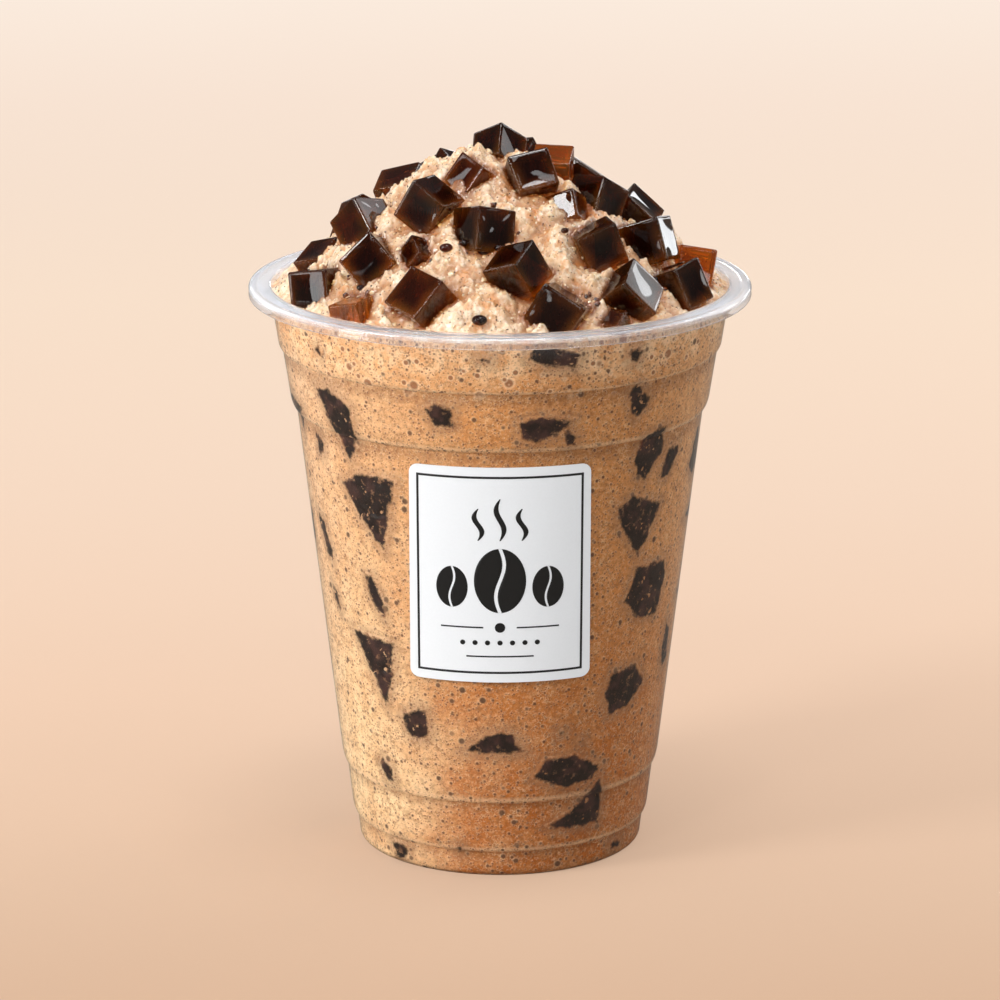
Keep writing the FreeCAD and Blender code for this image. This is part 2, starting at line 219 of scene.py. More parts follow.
class Board:
    """A node tree to fill, and the material that owns it, if one does."""

    def __init__(self, tree, owner=None):
        self.tree = tree
        self.owner = owner
        tree.nodes.clear()

    def add(self, kind, sockets=None, out=0, stops=None, **settings):
        """A node of a kind, with its settings, then the values or wires of its sockets."""
        node = self.tree.nodes.new(kind)
        for key, value in settings.items():
            setattr(node, key, value)
        if stops:
            ramp = node.color_ramp.elements
            while len(ramp) < len(stops):
                ramp.new(1.0)
            for element, (place, colour) in zip(ramp, stops):
                element.position, element.color = place, shade(colour)
        for key, value in (sockets or {}).items():
            socket = node.inputs[key]
            if isinstance(value, Wire):
                self.tree.links.new(value.socket, socket)
            else:
                socket.default_value = value
        return Wire(self, node.outputs[out]) if node.outputs else node

    def place(self):
        """The place on the object, in metres."""
        return self.add("ShaderNodeTexCoord", out="Object")

    def axis(self, letter):
        """One of the three coordinates of the place."""
        return self.add("ShaderNodeSeparateXYZ", {"Vector": self.place()}, out=letter)

    def blend(self, factor, first, second):
        """Mix of two colours."""
        return self.add("ShaderNodeMix", {0: factor, 6: shade(first), 7: shade(second)}, out=2,
                        data_type="RGBA")

    def layers(self, colour, overs):
        """A colour with others laid over it in turn, each by its share."""
        for share, over in overs:
            colour = self.blend(share, colour, over)
        return colour

    def clouds(self, scale, detail=3.0, roughness=0.55, place=None):
        """Soft noise from 0 to 1."""
        return self.add("ShaderNodeTexNoise", {
            "Vector": place or self.place(), "Scale": scale, "Detail": detail,
            "Roughness": roughness})

    def spots(self, scale, out="Distance", place=None):
        """Scattered cells: the distance to the nearest one's middle, or its colour."""
        return self.add("ShaderNodeTexVoronoi", {
            "Vector": place or self.place(), "Scale": scale}, out=out)

    def attribute(self, name):
        """One of the mesh's numbers for its points."""
        return self.add("ShaderNodeAttribute", out="Fac", attribute_name=name)

    def bump(self, height, distance, strength):
        """A surface raised by a pattern."""
        return self.add("ShaderNodeBump", {
            "Height": height, "Distance": distance, "Strength": strength})

    def skin(self, colour, roughness, more):
        """A surface of a colour and roughness, with more of its sockets by their names."""
        return self.add("ShaderNodeBsdfPrincipled", {
            "Base Color": shade(colour), "Roughness": roughness, **more})

    def mixed(self, share, first, second):
        """Mix of two surfaces."""
        return self.add("ShaderNodeMixShader", {0: share, 1: first, 2: second})

    def lets_lamps_through(self, shader, tint):
        """The shader, but clear to the light that lamps send through it."""
        shadow = self.add("ShaderNodeLightPath", out="Is Shadow Ray")
        clear = self.add("ShaderNodeBsdfTransparent", {"Color": tint})
        return self.mixed(shadow, shader, clear)

    def surface(self, shader, **inside):
        """The finished material, of a surface and what is inside."""
        self.add("ShaderNodeOutputMaterial", {"Surface": shader, **inside})
        return self.owner


def shade(colour):
    """A colour for a socket, from the usual three 0 to 255 numbers; anything else stays."""
    if isinstance(colour, Wire) or len(colour) == 4:
        return colour
    shares = [level / 255.0 for level in colour]
    return (*(share / 12.92 if share <= 0.04045 else ((share + 0.055) / 1.055) ** 2.4
              for share in shares), 1.0)


def finish(name):
    """The empty board of a new material."""
    material = bpy.data.materials.new(name)
    material.use_nodes = True
    return Board(material.node_tree, material)


# ---- materials ----

JELLY_STAIN = (142, 108, 80)


def clear_plastic():
    """The cup's thin clear wall, and its rolled rim, which bends light more and is a bit milky,
    with painted sheen making the rim milkier at its left and right.
    """
    board = finish("clear_plastic")
    height = board.axis("Z")
    normal = board.bump(board.clouds(70.0, 1.0), 0.0003, 0.08)
    wall = board.skin((253, 254, 254), 0.0, {
        "IOR": 1.18, "Transmission Weight": 1.0, "Coat Weight": 0.12, "Coat Roughness": 0.02,
        "Normal": normal})
    rim = board.skin((240, 243, 250), 0.03, {
        "IOR": 1.42, "Transmission Weight": 1.0, "Normal": normal})
    milk = board.skin((244, 246, 250), 0.08, {"IOR": 1.5, "Normal": normal})
    clear = board.mixed(height.step(0.1108, 0.1114), wall, rim)
    # Painted sheen: the rim's milky haze is made stronger towards the cup's left and right.
    flank_sheen_mask = board.axis("X").maths("ABSOLUTE").step(0.026, 0.047)
    haze = height.step(0.1070, 0.1115) * 0.03 + height.step(0.1116, 0.1131) * (flank_sheen_mask * 0.28 + 0.08)
    return board.surface(board.lets_lamps_through(
        board.mixed(haze, clear, milk), (0.96, 0.96, 0.96, 1.0)))


def coffee_colour(board):
    """Tan foam with slow swirls, like the heap at the brim, and painted light: paler down the lit
    side of the cup and at its flanks, shaded under the ledges, lit along them, and darker at the
    foot of the tan side.
    """
    height = board.axis("Z")
    across = board.axis("X")
    swirl = board.clouds(55.0, 4.0, 0.6)
    # Painted light: paler down the lit left side, with a swirled edge.
    paler = (across * -22.0 + (swirl - 0.5) * 1.2).step(-0.10, 0.72)
    # Painted light and shade by height: the tan side darker towards the foot, the pale lit side
    # paler there.
    rise = height.step(0.005, 0.085)
    tan = board.blend(rise, (180, 95, 20), (210, 140, 76))
    foam = board.blend(rise, (255, 222, 172), (222, 174, 126))
    # Painted sheen at both flanks of the cup, paler on the lit left than on the right.
    flank_sheen_mask = across.maths("ABSOLUTE").step(0.024, 0.044)
    flank_sheen_tone = board.blend(across.step(-0.02, 0.02), (252, 222, 190), (250, 206, 156))
    tone = board.blend(flank_sheen_mask * 0.38, board.blend(paler, tan, foam), flank_sheen_tone)
    tone = board.layers(tone, [
        (board.clouds(260.0, 4.0, 0.65).step(0.40, 0.62) * 0.35, (210, 150, 94)),
        (board.clouds(700.0, 3.0, 0.6).step(0.50, 0.66) * 0.42, (150, 94, 50))])
    # Painted shade in a band under each ledge.
    for ledge, reach, depth in ((0.0991, 0.0020, 0.45), (0.0871, 0.0022, 0.45),
                                (0.0146, 0.0014, 0.35), (0.0040, 0.0012, 0.30)):
        below = height.step(ledge - reach, ledge + 0.0010)
        above = height.step(ledge + reach, ledge + 0.0011)
        tone = board.blend(below * above * depth, tone, (126, 76, 38))
    # Painted highlight along each ledge.
    for ledge, reach in ((0.1012, 0.0005), (0.0895, 0.0008), (0.0167, 0.0010), (0.0059, 0.0008)):
        light = height.step(ledge - reach, ledge) * height.step(ledge + reach, ledge)
        tone = board.blend(light * 0.5, tone, (248, 208, 162))
    brim = (height + (board.clouds(160.0, 3.0) - 0.5) * 0.010).step(0.101, 0.107)
    crest = board.blend(board.clouds(230.0, 5.0, 0.68).step(0.42, 0.58),
                        (255, 214, 166), (226, 162, 104))
    return board.blend(brim * 0.75, tone, crest)


def pores(board, scale, reach, share, place=None, soft=0.55):
    """Round pores: 1 in the middle of some of the cells of a pattern, 0 outside."""
    near = board.spots(scale, place=place)
    chance = board.add("ShaderNodeSeparateColor", {
        "Color": board.spots(scale, out="Color", place=place)})
    return near.step(reach, reach * soft) * chance.step(share + 0.02, share - 0.02)


def pored(board, colour):
    """A tone of foam with ridges, cracks and dark pores, painted highlights on the pores' upper
    left edges and on the ridges, and small painted glints; and the ridges alone.
    """
    # The place shifted up and to the left, so that pale painted highlights show on the pores' upper
    # left edges.
    lit = board.add("ShaderNodeVectorMath", {0: board.place(), 1: (0.00009, 0.0, -0.00011)})
    fine = board.clouds(1250.0, 3.0, 0.7)
    ridge = (board.clouds(820.0, 2.0, 0.5) - 0.5).maths("ABSOLUTE").step(0.034, 0.008)
    crack = (board.clouds(470.0, 2.0, 0.5) - 0.5).maths("ABSOLUTE").step(0.026, 0.006)
    colour = board.layers(colour, [
        (fine.step(0.52, 0.64) * 0.32, (242, 192, 140)),
        (fine.step(0.47, 0.36) * 0.42, (130, 76, 38)),
        # Pale ridges: foam ridges, lightened as painted glints.
        (ridge * board.clouds(230.0, 2.0).step(0.44, 0.62) * 0.42, (248, 208, 160)),
        (crack * board.clouds(190.0, 2.0).step(0.45, 0.60) * 0.5, (132, 78, 38))])
    for scale, reach, share, rim, soft, dark in (
            (1500.0, 0.35, 0.80, 0.16, 0.30, (130, 72, 34)),
            (950.0, 0.31, 0.75, 0.20, 0.30, (106, 52, 22)),
            (620.0, 0.29, 0.55, 0.22, 0.40, (84, 38, 14)),
            (400.0, 0.27, 0.30, 0.25, 0.45, (70, 30, 12)),
            (270.0, 0.23, 0.12, 0.25, 0.50, (56, 24, 10))):
        # Each pore's painted highlight first, then its dark middle.
        colour = board.layers(colour, [
            (pores(board, scale, reach * 1.2, share, lit) * rim, (255, 218, 172)),
            (pores(board, scale, reach, share, soft=soft) * 0.85, dark)])
    # Small pale painted glints.
    painted_glints = pores(board, 1250.0, 0.17, 0.18, lit)
    return board.blend(painted_glints * 0.45, colour, (255, 228, 190)), ridge


def blended_coffee():
    """The coffee seen through the wall: tan foam full of pores, with bubbles at the brim."""
    board = finish("blended_coffee")
    colour, ridge = pored(board, coffee_colour(board))
    crown = board.axis("Z").step(0.0985, 0.1015)
    for scale, reach, share in ((230.0, 0.36, 0.45), (430.0, 0.38, 0.50), (800.0, 0.36, 0.5)):
        colour = board.layers(colour, [
            (pores(board, scale, reach, share) * crown * 0.50, (250, 214, 172)),
            (pores(board, scale, reach * 0.72, share) * crown * 0.85, (138, 76, 36))])
    colour = board.blend(board.attribute("jelly_near") * 0.45, colour, JELLY_STAIN)
    depth = board.clouds(900.0, 3.0) + ridge * 0.5
    return board.surface(board.skin(colour, 0.5, {
        "Specular IOR Level": 0.3, "Normal": board.bump(depth, 0.0003, 0.7)}))


def coffee_slush():
    """The heap: pale icy slush, browner and wetter round the jelly, with painted shade in its
    hollows and pale patches that are partly painted highlights.
    """
    board = finish("coffee_slush")
    wet = board.attribute("wet") * board.clouds(210.0, 2.0).step(0.22, 0.48)
    grain = board.clouds(1500.0, 3.0, 0.6)
    colour = board.blend(board.clouds(150.0, 4.0, 0.65).step(0.38, 0.62),
                         (238, 209, 176), (216, 175, 134))
    colour = board.layers(colour, [
        # Pale cream patches, partly painted highlights on the clumps.
        (board.clouds(620.0, 3.0, 0.6).step(0.46, 0.62) * 0.65, (248, 232, 208)),
        (grain.step(0.48, 0.33) * 0.35, (186, 134, 90)),
        # Painted shade in the hollows of the relief.
        (board.attribute("hollow") * 0.75, (172, 112, 64)),
        (board.clouds(260.0, 3.0).step(0.55, 0.66) * 0.6, (214, 142, 80)),
        (wet * 0.90, (124, 62, 20)),
        (pores(board, 1500.0, 0.20, 0.30) * 0.9, (58, 32, 18)),
        (pores(board, 760.0, 0.15, 0.22) * 0.9, (58, 32, 18))])
    return board.surface(board.skin(colour, (wet * -0.26 + 0.34) - grain * 0.15, {
        "Subsurface Weight": 0.35, "Subsurface Radius": (0.0016, 0.0011, 0.0007),
        "Subsurface Scale": 1.0, "IOR": 1.36, "Coat Weight": wet * 0.5 + 0.4,
        "Coat Roughness": 0.08,
        "Normal": board.bump(grain + board.spots(900.0) * 0.6, 0.0003, 0.8)}))


def coffee_jelly(name, tint, thickness, deep, thin):
    """Dark clear jelly with a painted amber glow along its lower edges and corners, for light
    shining through where it is thin.
    """
    board = finish(name)
    # Painted glow: the thin colour, along the lower edges and corners, is painted amber light.
    colour = board.blend(board.attribute("thin"), deep, thin)
    skin = board.skin(colour, 0.0, {
        "IOR": 1.42, "Transmission Weight": 0.85,
        "Normal": board.bump(board.clouds(110.0, 0.0), 0.0014, 0.45)})
    body = board.add("ShaderNodeVolumeAbsorption", {"Color": (*tint, 1.0), "Density": thickness})
    return board.surface(board.lets_lamps_through(skin, (1.0, 1.0, 1.0, 1.0)), Volume=body)


def sunk_jelly():
    """Jelly pressed against the wall: purple-black, its edges and streaks lost in the foam."""
    board = finish("sunk_jelly")
    edge = board.attribute("fringe")
    cloud = board.clouds(300.0, 3.0)
    ragged = board.clouds(800.0, 4.0, 0.7)
    foam = board.blend(0.38, pored(board, coffee_colour(board))[0], JELLY_STAIN)
    brown = (edge * 1.3 + (board.clouds(150.0) - 0.5) * 1.8).step(0.60, 1.2)
    colour = board.blend(cloud.step(0.45, 0.66), (14, 6, 6), (58, 34, 30))
    colour = board.layers(colour, [
        (brown * 0.8, (96, 44, 18)),
        (board.clouds(620.0, 4.0, 0.7).step(0.56, 0.68) * 0.6, (150, 108, 76))])
    lost = (edge * 1.25 + (ragged - 0.5) * 1.3).step(0.40, 1.05)
    return board.surface(board.skin(board.blend(lost, colour, foam), 0.35, {
        "IOR": 1.4, "Normal": board.bump(cloud + ragged * 0.5, 0.0004, 0.5)}))


def grain_finish(name, colour, other, roughness, coat=0.0, glow=0.0):
    """Small loose bits, each of its own tone."""
    board = finish(name)
    tone = board.clouds(900.0, 1.0).step(0.35, 0.65)
    return board.surface(board.skin(board.blend(tone, colour, other), roughness, {
        "IOR": 1.4, "Coat Weight": coat, "Subsurface Weight": glow,
        "Subsurface Radius": (0.0012, 0.0008, 0.0005), "Subsurface Scale": 1.0}))


def label_paper():
    """White paper with a faint grain."""
    board = finish("label_paper")
    fibre = board.clouds(2600.0, 4.0, 0.7)
    colour = board.blend(fibre, (238, 239, 240), (246, 247, 248))
    return board.surface(board.skin(colour, 0.42 + fibre * 0.12, {
        "Normal": board.bump(fibre, 0.00004, 0.3)}))


def label_ink():
    """Black print, a little uneven."""
    board = finish("label_ink")
    mottle = board.clouds(1800.0, 3.0)
    colour = board.blend(mottle, (12, 12, 13), (24, 23, 23))
    return board.surface(board.skin(colour, 0.38 + mottle * 0.1, {}))


# ---- cup ----

CUP_TURNS = 224


def cup_outline():
    """Closed outline of the cup's skin: under the base, up outside, over the rim, down inside."""
    heights = wall_heights(FOOT_ROUND, RIM_TOP - 0.9, 2.0)
    outside = np.stack([wall_out(heights), heights], 1)
    inside = outside[::-1] - (WALL, 0.0)
    foot = arc((FOOT_OUT - FOOT_ROUND, FOOT_ROUND), (FOOT_ROUND, FOOT_ROUND), -90, -8, 8)
    under = [(0.0, 1.6), (12.0, 1.6), (23.2, 1.6), (23.8, 1.45), (24.9, 0.15), (25.3, 0.0)]
    rim = np.array([RIM_OUT, RIM_TOP])
    flange = np.concatenate([
        arc(outside[-1] + (0.35, 0.0), (0.35, 0.3), 180, 90, 5),
        arc(rim - 0.95, (0.40, 0.38), 90, 0, 6),
        [rim - (0.50, 1.5)],
        arc(rim - (0.27, 2.15), (0.25, 0.25), 190, 360, 8),
        [rim - (0.10, 1.7)],
        arc(rim - (0.85, 0.95), (0.85, 0.83), 0, 90, 11),
        rim - [(1.35, 0.20), (1.7, 0.26), (2.0, 0.15), (2.5, 0.02), (3.4, 0.0)],
        arc((MOUTH + 0.55, RIM_TOP - 0.5), (0.5, 0.5), 90, 180, 7),
    ])
    floor = [(25.9, 0.55), (25.4, 0.75), (24.2, 2.0), (23.4, 2.1), (12.0, 2.1), (0.0, 2.1)]
    low_inside = arc((FOOT_OUT - 1.25, 1.25), (0.7, 0.75), 0, -90, 6)
    return np.concatenate([under, foot, outside, flange, inside, low_inside, floor])


def make_cup():
    """The clear cup, turned in one piece."""
    radius, height = cup_outline().T[:, :, None]
    angle = np.linspace(0.0, 2.0 * math.pi, CUP_TURNS, endpoint=False)
    points = np.stack(np.broadcast_arrays(
        radius * np.cos(angle), radius * np.sin(angle), height), -1)
    cup = tidy_mesh(new_piece("clear_cup", points.reshape(-1, 3),
                              grid_faces(len(radius), CUP_TURNS, ring=True), clear_plastic()))
    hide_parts("cup")
    return cup


# ---- jelly cubes ----

AMBER_CUBES = (5, 15, 24)
SIDES = tuple(product(range(3), (-1.0, 1.0)))


class Block:
    """Middle, axes and half sizes of a cube on the heap, in millimetres, read from its solid."""

    def __init__(self, node):
        mesh = bmesh.new()
        mesh.from_mesh(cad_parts[node].data)
        bmesh.ops.remove_doubles(mesh, verts=mesh.verts, dist=1e-6)
        faces = sorted(mesh.faces, key=lambda face: -face.calc_area())
        first = faces[0].normal.normalized()
        second = next(face.normal for face in faces if abs(face.normal.dot(first)) < 0.05)
        second = (second - first * second.dot(first)).normalized()
        self.axes = np.array([first, second, first.cross(second)])
        points = np.array([vert.co for vert in mesh.verts]) / MM @ self.axes.T
        mesh.free()
        self.half = (points.max(0) - points.min(0)) / 2.0
        self.middle = (points.max(0) + points.min(0)) / 2.0 @ self.axes

    def chord(self, across):
        """Lowest and highest point of the cube over places (x, y), and whether it is over them."""
        start = (np.insert(across, 2, 0.0, axis=1) - self.middle) @ self.axes.T
        rise = np.where(np.abs(self.axes[:, 2]) < 1e-9, 1e-9, self.axes[:, 2])
        ends = np.stack([-self.half - start, self.half - start]) / rise
        low, high = ends.min(0).max(1), ends.max(0).min(1)
        return low, high, high > low

    def gap(self, points):
        """Distance from points to the cube, 0 inside it."""
        out = np.abs((points - self.middle) @ self.axes.T) - self.half
        return np.linalg.norm(np.maximum(out, 0.0), axis=1)


def cube_points(block, seed, divisions=17, radius=0.40):
    """A cut jelly cube: rounded edges, slightly hollow faces and corners a little off true."""
    pick = random.Random(seed)
    side = np.linspace(-1.0, 1.0, divisions)
    side = np.sign(side) * (1.0 - (1.0 - np.abs(side)) ** 1.7)
    flat = square_grid(side)
    one_face = grid_faces(divisions, divisions)
    points, faces = joined([(np.insert(flat, axis, sign, axis=1), one_face)
                            for axis, sign in SIDES])
    rounding = radius / block.half
    inner = np.clip(points, rounding - 1.0, 1.0 - rounding)
    away = (points - inner) * block.half
    length = np.maximum(np.linalg.norm(away, axis=1, keepdims=True), 1e-9)
    body = inner * block.half + away / length * radius
    for axis, sign in SIDES:
        middle = np.prod(1.0 - np.delete(points, axis, 1) ** 2, axis=1)
        on = np.clip(points[:, axis] * sign, 0.0, 1.0) ** 3
        hollow = pick.uniform(0.0, 0.06) * block.half[axis]
        body[:, axis] -= sign * on * middle * hollow
    share = (points + 1.0) / 2.0
    shift = np.zeros_like(body)
    for corner in product((0, 1), repeat=3):
        weight = np.prod(np.abs(1 - np.array(corner) - share), axis=1, keepdims=True)
        off = np.array([pick.uniform(-0.02, 0.035) for _ in range(3)])
        shift += weight * off * (2 * np.array(corner) - 1)
    body += shift * block.half
    wave = rough(body, 6.0, seed, 1)
    body += (points / np.linalg.norm(points, axis=1, keepdims=True)) * wave[:, None] * 0.05
    return body @ block.axes + block.middle, faces


def painted_glow_places(cube, block, seed):
    """Where the painted amber glow goes: 0 in the middle of a cube's faces, up to 1 along its lower
    edges and corners.
    """
    spots = np.array([vert.co for vert in cube.data.vertices]) / MM - block.middle
    near = np.sort(np.abs(spots @ block.axes.T / block.half), axis=1)[:, 1]
    edge = np.clip((near + rough(spots, 4.0, seed + 60, 1) * 0.12 - 0.42) / 0.58, 0.0, 1.0) ** 1.6
    return edge * np.clip(0.62 - spots[:, 2] / (2.4 * block.half.mean()), 0.12, 1.0)


def make_cubes(blocks):
    """The cubes in the heap: two of three dark, the rest brown, and a few amber ones."""
    # The last colour of each jelly is its painted amber glow.
    dark = coffee_jelly("dark_jelly", (0.85, 0.71, 0.18), 1000.0, (46, 20, 11), (232, 140, 50))
    brown = coffee_jelly("brown_jelly", (0.86, 0.72, 0.18), 800.0, (70, 33, 16), (238, 150, 58))
    amber = coffee_jelly("amber_jelly", (0.90, 0.75, 0.09), 600.0, (190, 114, 42), (248, 182, 90))
    cubes = []
    for number, (node, block) in enumerate(blocks.items(), start=1):
        jelly = amber if number in AMBER_CUBES else dark if number % 3 else brown
        cube = tidy_mesh(new_piece("cut_" + node, *cube_points(block, number), jelly), 0.00003)
        point_attribute(cube, "thin", painted_glow_places(cube, block, number))
        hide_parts(node)
        cubes.append(cube)
    return cubes


# ---- slush heap ----

HEAP_LUMPS = 90
LUMP_RISE = 1.1
LUMP_REACH = 4.2
HEAP_ROOT = 9.0      # the heap goes on this far under the brim
FAR = 9.0            # gaps to the cubes aren't told apart beyond this


def heap_level(across):
    """Height of the smooth heap, with its broad lumps, over places (x, y)."""
    pick = random.Random(11)
    out = np.linalg.norm(across, axis=1) / MOUTH
    level = BRIM + HEAP_RISE * (1.0 - out ** HEAP_POWER)
    calm = np.maximum(0.0, 1.0 - out ** 6)
    for _ in range(HEAP_LUMPS):
        away = MOUTH * math.sqrt(pick.random())
        turn = pick.uniform(0.0, 2.0 * math.pi)
        height = pick.uniform(-1.0, 1.0) * LUMP_RISE
        reach = pick.uniform(0.8, 1.5) * LUMP_REACH
        apart = across - (away * math.cos(turn), away * math.sin(turn))
        level += calm * height * np.exp(-(apart ** 2).sum(1) / reach ** 2)
    return level


def heap_relief(spots):
    """Lumps, clumps and crumbs of the slush, up from the smooth heap."""
    lumps = rough(spots, 5.2, 1, 4)
    near = cells(spots + rough(spots, 1.6, 4, 2)[:, None] * 0.7, 2.3, 2)
    clumps = np.clip(1.0 - near * 1.25, 0.0, 1.0)
    return 1.9 * lumps + 1.2 * (clumps - 0.45) + 0.8 * (0.5 - cells(spots, 0.95, 3)) - 0.3


def nearest_cube(points, blocks):
    """Distance from points to the nearest cube."""
    return np.min([block.gap(points) for block in blocks.values()], axis=0).clip(max=FAR)


def with_pockets(level, across, blocks):
    """The surface lowered to just inside the cubes that reach through it, and where it is."""
    pocket = np.zeros(len(across), bool)
    settled = level.copy()
    for block in blocks.values():
        low, high, over = block.chord(across)
        held = over & (level > low) & (level < high)
        settled = np.where(held, np.minimum(settled, low + 0.12), settled)
        pocket |= held
    return settled, pocket


def disc_grid(count, radius):
    """A square grid of places bent to fill a disc evenly."""
    places = square_grid(np.linspace(-1.0, 1.0, count))
    return places * np.sqrt(1.0 - places[:, ::-1] ** 2 / 2.0) * radius


def make_heap(blocks):
    """The heap's surface, closed underneath, with pockets that hold the cubes."""
    count = 304
    edge = wall_out(BRIM) - SKIN
    across = disc_grid(count, edge)
    smooth = heap_level(across)
    spots = np.column_stack([across, smooth])
    relief = heap_relief(spots)
    out = np.linalg.norm(across, axis=1) / edge
    calm = np.clip((1.0 - out) / 0.06, 0.0, 1.0)
    gap = nearest_cube(spots, blocks)
    level = smooth + (relief * (0.25 + 0.75 * calm)) * (1.0 - 0.6 * np.exp(-gap / 0.8))
    level -= 1.8 * np.exp(-gap / 1.9) * calm
    settled, pocket = with_pockets(level, across, blocks)
    top = np.column_stack([across, settled])
    rim = border(count, count)
    root = BRIM - HEAP_ROOT
    skirt = top[rim] * ((wall_out(root) - 2.0) / edge)
    skirt[:, 2] = root
    heap = tidy_mesh(new_piece("slush_heap", *closed(
        top, grid_faces(count, count), rim, skirt, (0.0, 0.0, root)), coffee_slush()), 0.000001)
    gap = nearest_cube(top, blocks)
    wet = np.where(pocket, 0.2, np.exp(-np.maximum(gap - 0.35, 0.0) / 0.6))
    damp = (gap > 0.3) & (gap < 1.3) & (rough(spots, 3.0, 12, 2) > 0.1) & (out < 0.95)
    point_attribute(heap, "wet", wet)
    # Where the slush gets painted shade: the hollows of its relief.
    point_attribute(heap, "hollow", np.clip(-relief * 0.9 - 0.2, 0.0, 1.0))
    point_attribute(heap, "damp", damp)
    point_attribute(heap, "open", ~(pocket | (out > 0.985)))
    return heap


# ---- coffee in the cup ----

# Jelly that shows through the wall: bearing in degrees from the front towards +X, height,
# width, tallness in millimetres, lean in degrees, and the outline.
SUNK = (
    (-49, 90.4, 9.4, 12.0, 6, "wedge"), (-61, 85.1, 4.0, 5.2, 0, "chip"),
    (-15, 96.0, 6.2, 6.0, 20, "chip"), (11, 93.7, 9.7, 6.0, 0, "slab"),
    (19, 91.3, 3.7, 4.3, 10, "chip"), (39, 97.0, 7.0, 6.4, -30, "shard"),
    (46, 85.3, 6.0, 10.2, -28, "slab"), (57, 82.7, 4.6, 7.4, -30, "slab"),
    (-40, 75.0, 11.6, 12.0, 0, "wedge"), (-67, 65.8, 5.4, 9.0, 12, "shard"),
    (44, 71.0, 12.6, 9.4, 0, "wedge"), (-42, 57.2, 4.4, 9.3, 15, "shard"),
    (-63, 53.0, 3.6, 6.7, 12, "shard"), (53, 56.2, 10.4, 11.6, -25, "slab"),
    (70, 41.6, 6.0, 9.0, -10, "shard"), (-45, 40.9, 10.4, 13.4, 5, "wedge"),
    (46, 36.9, 8.6, 9.5, -20, "slab"), (-29, 31.6, 5.8, 6.8, 10, "slab"),
    (-3, 28.7, 12.2, 5.3, 0, "roof"), (25, 21.6, 12.0, 7.0, -8, "slab"),
    (28, 13.8, 11.6, 9.1, 0, "corner"), (-44, 20.5, 3.7, 5.9, 20, "chip"),
    (-43, 2.9, 5.4, 5.0, 0, "chip"), (-16, 5.4, 2.3, 3.0, 0, "chip"),
    (13, 108.4, 9.8, 4.6, -8, "slab"), (35, 106.8, 4.6, 3.6, 0, "chip"),
    (-4, 108.0, 3.6, 1.9, 0, "chip"), (-52, 105.6, 2.8, 2.6, 0, "chip"),
    (54, 2.6, 4.6, 3.2, 0, "chip"), (21, 30.4, 2.5, 2.1, 0, "chip"),
    (29, 28.2, 2.7, 1.9, 0, "chip"),
)
OUTLINES = {
    "wedge": ((-0.95, 0.75), (-0.1, 0.95), (0.95, 0.8), (0.6, -0.1), (0.15, -1.0), (-0.35, -0.1)),
    "slab": ((-0.95, 0.55), (0.2, 0.95), (0.95, 0.5), (0.7, -0.6), (-0.25, -0.95), (-0.85, -0.4)),
    "shard": ((-0.55, 0.95), (0.5, 0.6), (0.75, -0.3), (0.35, -0.95), (-0.3, -0.45), (-0.7, 0.2)),
    "roof": ((-0.95, -0.6), (-0.3, 0.8), (0.35, 0.85), (0.95, -0.7), (0.1, -0.95)),
    "corner": ((-0.95, -0.6), (-0.1, 0.1), (0.6, 0.95), (0.9, 0.3), (0.75, -0.95), (-0.3, -0.85)),
    "chip": ((-0.8, 0.5), (0.1, 0.9), (0.85, 0.2), (0.4, -0.8), (-0.6, -0.6)),
}
LEANING = ("slab", "shard", "chip")
SUNK_COUNT = 78
SUNK_APART = 0.62    # pieces keep this share of their summed sizes apart
DEGREE = 0.62        # millimetres round the wall
SUNK_GROWTH = 1.34   # the foam hides the edges, so the outlines are drawn larger
SUNK_MESH = 0.34     # spacing of a piece's points


def sunk_places():
    """The listed pieces, then more all round the back of the cup."""
    pick = random.Random(5)
    places = list(SUNK)
    for _ in range(4000):
        bearing = pick.uniform(76.0, 284.0)
        height = pick.uniform(5.0, 103.0)
        wide, tall = pick.uniform(3.5, 10.5), pick.uniform(4.0, 12.0)
        if any(abs(height - z) < (tall + t) * SUNK_APART
               and abs((bearing - b + 180.0) % 360.0 - 180.0) * DEGREE < (wide + w) * SUNK_APART
               for b, z, w, t, _, _ in places):
            continue
        places.append((bearing, height, wide, tall, pick.uniform(-45.0, 45.0),
                       pick.choice(sorted(OUTLINES))))
        if len(places) == SUNK_COUNT:
            break
    return places


def sunk_shapes(places):
    """Bearing, height, and outline in millimetres along the wall and up, of each sunk piece."""
    pick = random.Random(8)
    shapes = []
    for bearing, height, wide, tall, lean, kind in places:
        corners = np.array(OUTLINES[kind]) * (wide / 2.0, tall / 2.0)
        corners += np.array([[pick.uniform(-0.1, 0.1) * wide, pick.uniform(-0.1, 0.1) * tall]
                             for _ in corners])
        turn = math.radians(-lean if kind in LEANING else 0.0)
        cos, sin = math.cos(turn), math.sin(turn)
        corners = corners @ np.array([[cos, -sin], [sin, cos]]) * SUNK_GROWTH
        shapes.append((math.radians(bearing), height, corners))
    return shapes


def inside_depth(corners, flat):
    """Distance of flat points from the outline's edge, positive inside."""
    ends = np.roll(corners, -1, axis=0)
    along = ends - corners
    to_point = flat[:, None, :] - corners[None]
    share = np.clip((to_point * along).sum(2) / (along ** 2).sum(1), 0.0, 1.0)
    gap = np.linalg.norm(to_point - share[..., None] * along, axis=2).min(1)
    across, up = flat[:, :1], flat[:, 1:]
    crossing = (corners[:, 1] > up) != (ends[:, 1] > up)
    slope = np.where(np.abs(along[:, 1]) < 1e-9, 1e-9, along[:, 1])
    reach = corners[:, 0] + (up - corners[:, 1]) / slope * along[:, 0]
    inside = (crossing & (across < reach)).sum(1) % 2 == 1
    return np.where(inside, gap, -gap)


def on_wall(bearing, along, height, depth):
    """Points on the wall, so far along it and up, sunk by a depth below the coffee's skin."""
    radius = wall_out(np.clip(height, FOOT_ROUND, BRIM)) - SKIN
    return turned(radius - depth, bearing + along / radius, height)


